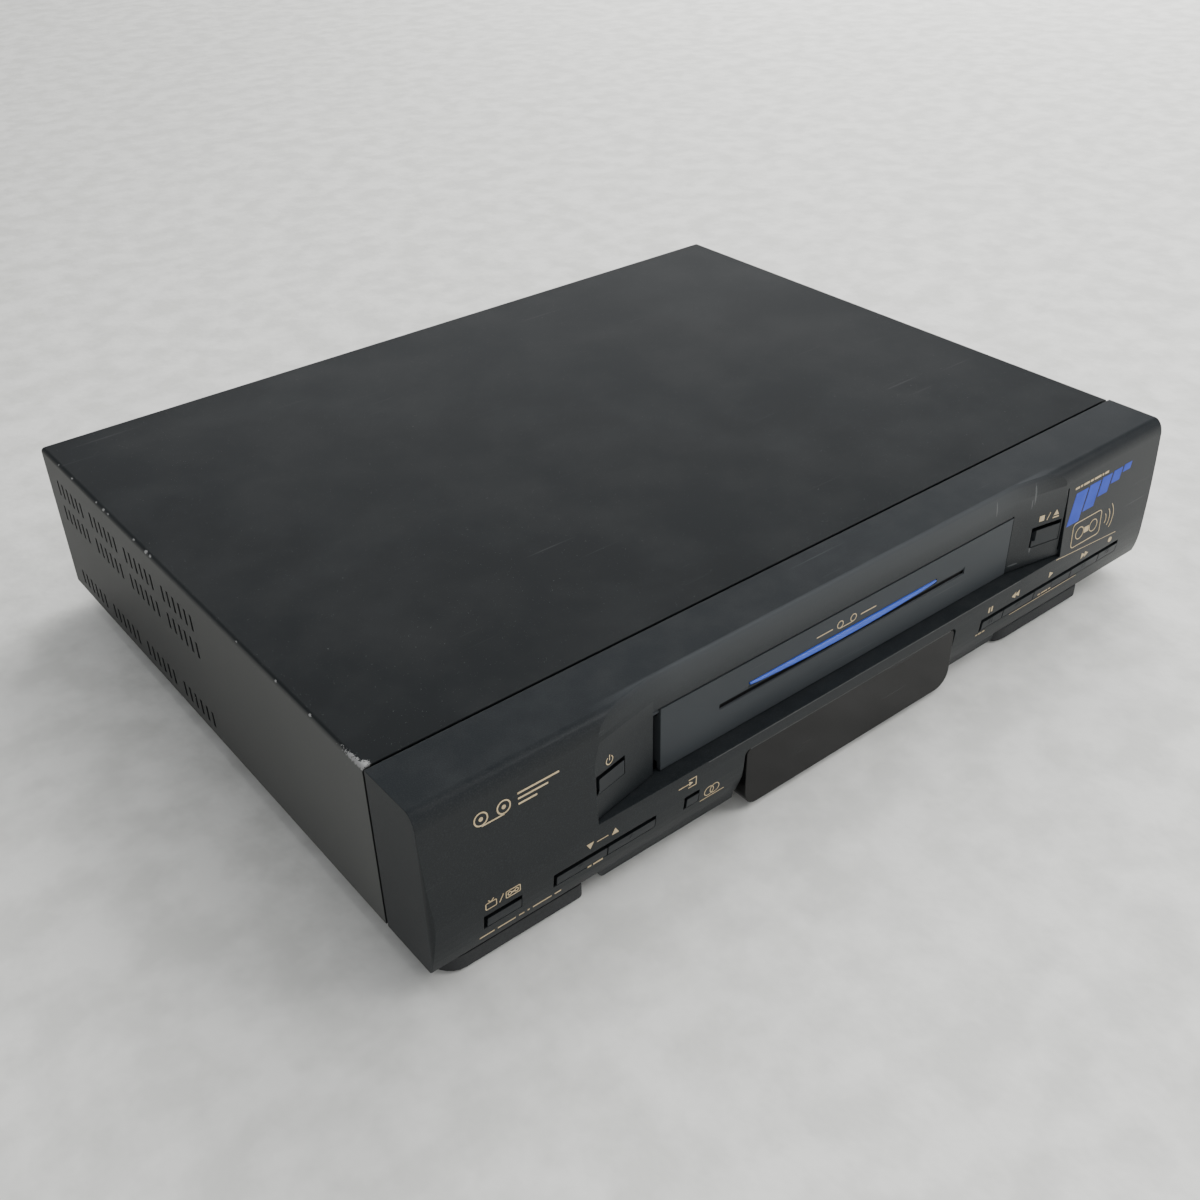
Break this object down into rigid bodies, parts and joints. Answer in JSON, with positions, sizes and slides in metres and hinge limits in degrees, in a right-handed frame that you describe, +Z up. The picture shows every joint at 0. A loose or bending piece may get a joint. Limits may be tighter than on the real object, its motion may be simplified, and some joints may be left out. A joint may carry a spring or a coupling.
{
  "type": "video cassette recorder",
  "caption": "Full-size black video cassette recorder with front keys, hinged cassette door, smoked display window, rear sockets and a working tape deck inside.",
  "frame": {"origin": "middle of the footprint, on the surface that the recorder stands on", "axes": "+X to the recorder's left as it faces, which is the viewer's right; +Y to the rear; +Z up; the front faces -Y"},
  "size_m": [0.43, 0.3462, 0.0881],
  "materials": {
    "cover_paint": "satin fine-textured black paint",
    "front_plastic": "fine matt texture",
    "door_plastic": "smooth, faintly scratched",
    "key_plastic": "smooth matt",
    "smoked_plastic": "glossy, dark smoked",
    "blue_plastic": "glossy blue",
    "foot_rubber": "matt",
    "plated_steel": "bright zinc plating",
    "black_plastic": "moulded",
    "board_laminate": "paper laminate",
    "transformer_iron": "varnished",
    "socket_plastic": "moulded",
    "drum_aluminium": "turned and polished",
    "shaft_steel": "ground",
    "belt_rubber": "matt",
    "white_plastic": "acetal",
    "tube_glass": "clear"
  },
  "bodies": {
    "root": {"top_cover": "cover_paint", "front_bezel": "front_plastic", "chassis_frame": "black_plastic", "bottom_plate": "plated_steel", "rear_panel": "plated_steel", "foot_front_left": "foot_rubber", "foot_front_right": "foot_rubber", "foot_rear_left": "foot_rubber", "foot_rear_right": "foot_rubber", "cover_screw_left": "shaft_steel", "cover_screw_right": "shaft_steel", "display_window": "smoked_plastic", "display_tube": "tube_glass", "front_board": "board_laminate", "main_board": "board_laminate", "power_board": "board_laminate", "power_transformer": "transformer_iron", "smoothing_capacitor": "black_plastic", "tuner_can": "plated_steel", "aerial_in_socket": "shaft_steel", "aerial_out_socket": "shaft_steel", "av_jack_block": "socket_plastic", "mains_inlet": "black_plastic", "deck_plate": "plated_steel", "loading_frame": "plated_steel", "lower_drum": "drum_aluminium", "capstan_housing": "drum_aluminium", "drive_belt": "belt_rubber", "loading_motor": "shaft_steel", "audio_head": "shaft_steel", "erase_head": "shaft_steel"},
    "cassette_door": {"cassette_door": "door_plastic", "door_strip": "blue_plastic"},
    "tv_vcr_key": {"tv_vcr_key": "key_plastic"},
    "channel_down_key": {"channel_down_key": "key_plastic"},
    "channel_up_key": {"channel_up_key": "key_plastic"},
    "input_key": {"input_key": "key_plastic"},
    "pause_key": {"pause_key": "key_plastic"},
    "rewind_key": {"rewind_key": "key_plastic"},
    "play_key": {"play_key": "key_plastic"},
    "fast_forward_key": {"fast_forward_key": "key_plastic"},
    "record_key": {"record_key": "key_plastic"},
    "power_key": {"power_key": "key_plastic"},
    "stop_eject_key": {"stop_eject_key": "key_plastic"},
    "channel_switch_knob": {"channel_switch_knob": "key_plastic"},
    "tray_slider": {"tray_slider": "plated_steel"},
    "cassette_holder": {"cassette_holder": "plated_steel"},
    "upper_drum": {"upper_drum": "drum_aluminium"},
    "capstan_shaft": {"capstan_shaft": "shaft_steel"},
    "centre_pulley": {"centre_pulley": "white_plastic"},
    "idler_arm": {"idler_arm": "plated_steel"},
    "idler_wheel": {"idler_wheel": "white_plastic"},
    "supply_reel": {"supply_reel": "white_plastic"},
    "takeup_reel": {"takeup_reel": "white_plastic"},
    "pinch_roller_arm": {"pinch_roller_arm": "plated_steel"},
    "pinch_roller": {"pinch_roller": "belt_rubber"},
    "cam_gear": {"cam_gear": "white_plastic"},
    "supply_guide": {"supply_guide": "shaft_steel"},
    "takeup_guide": {"takeup_guide": "shaft_steel"},
    "tension_arm": {"tension_arm": "plated_steel"}
  },
  "joints": [
    {"name": "tv_vcr_press", "type": "slide", "parent": "root", "child": "tv_vcr_key", "axis": [0, 1, 0], "range_m": [0, 0.001], "stiffness_N_per_m": 1500},
    {"name": "channel_down_press", "type": "slide", "parent": "root", "child": "channel_down_key", "axis": [0, 1, 0], "range_m": [0, 0.001], "stiffness_N_per_m": 1500},
    {"name": "channel_up_press", "type": "slide", "parent": "root", "child": "channel_up_key", "axis": [0, 1, 0], "range_m": [0, 0.001], "stiffness_N_per_m": 1500},
    {"name": "input_press", "type": "slide", "parent": "root", "child": "input_key", "axis": [0, 1, 0], "range_m": [0, 0.001], "stiffness_N_per_m": 1500},
    {"name": "pause_press", "type": "slide", "parent": "root", "child": "pause_key", "axis": [0, 1, 0], "range_m": [0, 0.001], "stiffness_N_per_m": 1500},
    {"name": "rewind_press", "type": "slide", "parent": "root", "child": "rewind_key", "axis": [0, 1, 0], "range_m": [0, 0.001], "stiffness_N_per_m": 1500},
    {"name": "play_press", "type": "slide", "parent": "root", "child": "play_key", "axis": [0, 1, 0], "range_m": [0, 0.001], "stiffness_N_per_m": 1500},
    {"name": "fast_forward_press", "type": "slide", "parent": "root", "child": "fast_forward_key", "axis": [0, 1, 0], "range_m": [0, 0.001], "stiffness_N_per_m": 1500},
    {"name": "record_press", "type": "slide", "parent": "root", "child": "record_key", "axis": [0, 1, 0], "range_m": [0, 0.001], "stiffness_N_per_m": 1500},
    {"name": "power_press", "type": "slide", "parent": "root", "child": "power_key", "axis": [0, 1, 0], "range_m": [0, 0.001], "stiffness_N_per_m": 1500},
    {"name": "stop_eject_press", "type": "slide", "parent": "root", "child": "stop_eject_key", "axis": [0, 1, 0], "range_m": [0, 0.001], "stiffness_N_per_m": 1500},
    {"name": "channel_switch", "type": "slide", "parent": "root", "child": "channel_switch_knob", "axis": [1, 0, 0], "range_m": [0, 0.003]},
    {"name": "door_swing", "type": "hinge", "parent": "root", "child": "cassette_door", "pos_m": [0, -0.1636, 0.0706], "axis": [1, 0, 0], "range_deg": [0, 85], "stiffness_Nm_per_rad": 0.01},
    {"name": "tray_travel", "type": "slide", "parent": "root", "child": "tray_slider", "axis": [0, 1, 0], "range_m": [0, 0.04]},
    {"name": "holder_drop", "type": "slide", "parent": "tray_slider", "child": "cassette_holder", "axis": [0, 0, -1], "range_m": [0, 0.012]},
    {"name": "drum_spin", "type": "hinge", "parent": "root", "child": "upper_drum", "pos_m": [0, 0.0653, 0.032], "axis": [0, -0.1038, 0.9946], "continuous": true},
    {"name": "capstan_spin", "type": "hinge", "parent": "root", "child": "capstan_shaft", "pos_m": [0.064, 0.0423, 0.022], "axis": [0, 0, 1], "continuous": true},
    {"name": "centre_pulley_spin", "type": "hinge", "parent": "root", "child": "centre_pulley", "pos_m": [0, -0.0197, 0.024], "axis": [0, 0, 1], "continuous": true},
    {"name": "idler_swing", "type": "hinge", "parent": "root", "child": "idler_arm", "pos_m": [0, -0.0197, 0.029], "axis": [0, 0, 1], "range_deg": [-47, 47]},
    {"name": "idler_spin", "type": "hinge", "parent": "idler_arm", "child": "idler_wheel", "pos_m": [0, -0.0417, 0.032], "axis": [0, 0, 1], "continuous": true},
    {"name": "supply_reel_spin", "type": "hinge", "parent": "root", "child": "supply_reel", "pos_m": [-0.046, -0.0447, 0.03], "axis": [0, 0, 1], "continuous": true},
    {"name": "takeup_reel_spin", "type": "hinge", "parent": "root", "child": "takeup_reel", "pos_m": [0.046, -0.0447, 0.03], "axis": [0, 0, 1], "continuous": true},
    {"name": "pinch_swing", "type": "hinge", "parent": "root", "child": "pinch_roller_arm", "pos_m": [0.088, 0.0303, 0.042], "axis": [0, 0, -1], "range_deg": [0, 34]},
    {"name": "pinch_roller_spin", "type": "hinge", "parent": "pinch_roller_arm", "child": "pinch_roller", "pos_m": [0.06914, 0.0204, 0.044], "axis": [0, 0, 1], "continuous": true},
    {"name": "cam_turn", "type": "hinge", "parent": "root", "child": "cam_gear", "pos_m": [-0.072, 0.0693, 0.036], "axis": [0, 0, 1], "range_deg": [0, 300]},
    {"name": "supply_guide_travel", "type": "slide", "parent": "root", "child": "supply_guide", "axis": [-0.158, 0.9874, 0], "range_m": [0, 0.0506]},
    {"name": "takeup_guide_travel", "type": "slide", "parent": "root", "child": "takeup_guide", "axis": [0.158, 0.9874, 0], "range_m": [0, 0.0506]},
    {"name": "tension_swing", "type": "hinge", "parent": "root", "child": "tension_arm", "pos_m": [-0.072, 0.0103, 0.032], "axis": [0, 0, 1], "range_deg": [-8, 30], "stiffness_Nm_per_rad": 0.01}
  ],
  "couplings": [
    {"joint": "centre_pulley_spin", "follows": "capstan_spin", "ratio": 0.57143},
    {"joint": "idler_spin", "follows": "capstan_spin", "ratio": -1.0819},
    {"joint": "supply_guide_travel", "follows": "cam_turn", "m_per_rad": 0.0096639},
    {"joint": "takeup_guide_travel", "follows": "cam_turn", "m_per_rad": 0.0096639}
  ]
}
